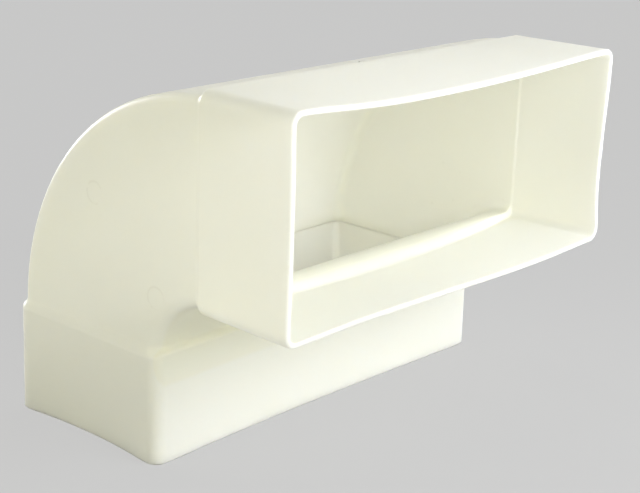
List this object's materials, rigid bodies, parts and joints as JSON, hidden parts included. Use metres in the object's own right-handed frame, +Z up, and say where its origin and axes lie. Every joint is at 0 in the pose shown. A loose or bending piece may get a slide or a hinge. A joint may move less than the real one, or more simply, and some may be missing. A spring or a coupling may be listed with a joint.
{
  "type": "flat duct vertical bend",
  "caption": "Cream moulded plastic right-angle bend for flat rectangular ventilation duct, with a wide socket at each end and a smooth quarter-round outer wall.",
  "frame": {"origin": "centre of the lower socket's mouth, on the floor", "axes": "+X along the duct's width, to the right seen from the front mouth; -Y out of the front mouth; +Z up, out of the floor"},
  "size_m": [0.226, 0.1715, 0.1715],
  "materials": {
    "plastic": "satin cream moulded plastic with faint flow and ejector marks"
  },
  "bodies": {
    "root": {"duct_bend": "plastic"}
  },
  "joints": []
}
